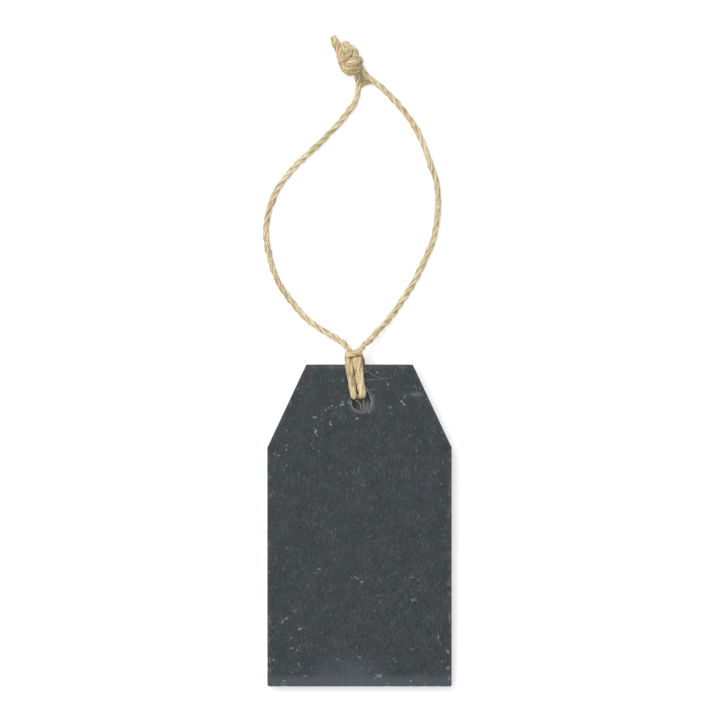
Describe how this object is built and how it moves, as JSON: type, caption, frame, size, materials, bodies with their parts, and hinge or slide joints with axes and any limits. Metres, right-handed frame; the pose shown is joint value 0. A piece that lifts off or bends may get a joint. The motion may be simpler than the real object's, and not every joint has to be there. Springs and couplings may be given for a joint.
{
  "type": "slate hanging tag",
  "caption": "Blank slate label with two clipped top corners and a drilled hole, hitched on a knotted loop of natural jute twine for hanging or tying on.",
  "frame": {"origin": "on the table, under the middle of the slate plate, which lies face up", "axes": "+X across the tag to the right, +Y from the tag towards its hanging loop, +Z out of the writing face"},
  "size_m": [0.0563, 0.1943, 0.0087],
  "materials": {
    "slate": "natural riven slate, matt, dark blue grey with sawn and tumbled edges",
    "jute_hitch": "three-ply natural jute twine, pulled tight and pressed flat",
    "jute_leg_left": "three-ply natural jute twine, slightly hairy",
    "jute_leg_right": "three-ply natural jute twine, slightly hairy",
    "jute_knot": "three-ply natural jute twine, knotted tight with two cut tails"
  },
  "bodies": {
    "tag": {"slate_tag": "slate"},
    "hitch": {"twine_hitch": "jute_hitch"},
    "loop": {"twine_leg_left": "jute_leg_left", "twine_leg_right": "jute_leg_right"},
    "knot": {"end_knot": "jute_knot"}
  },
  "joints": [
    {"name": "hitch_swivel", "type": "hinge", "parent": "tag", "child": "hitch", "pos_m": [0.0006, 0.03709, 0.00388], "axis": [0, -0.0221, 0.9998], "range_deg": [-23, 5]},
    {"name": "loop_fold", "type": "hinge", "parent": "hitch", "child": "loop", "pos_m": [-0.00137, 0.054, 0.00465], "axis": [1, 0, 0], "range_deg": [-90, 110]},
    {"name": "knot_flop", "type": "hinge", "parent": "loop", "child": "knot", "pos_m": [0.00063, 0.13405, 0.00093], "axis": [0.8944, 0.4472, 0], "range_deg": [-90, 90]}
  ]
}
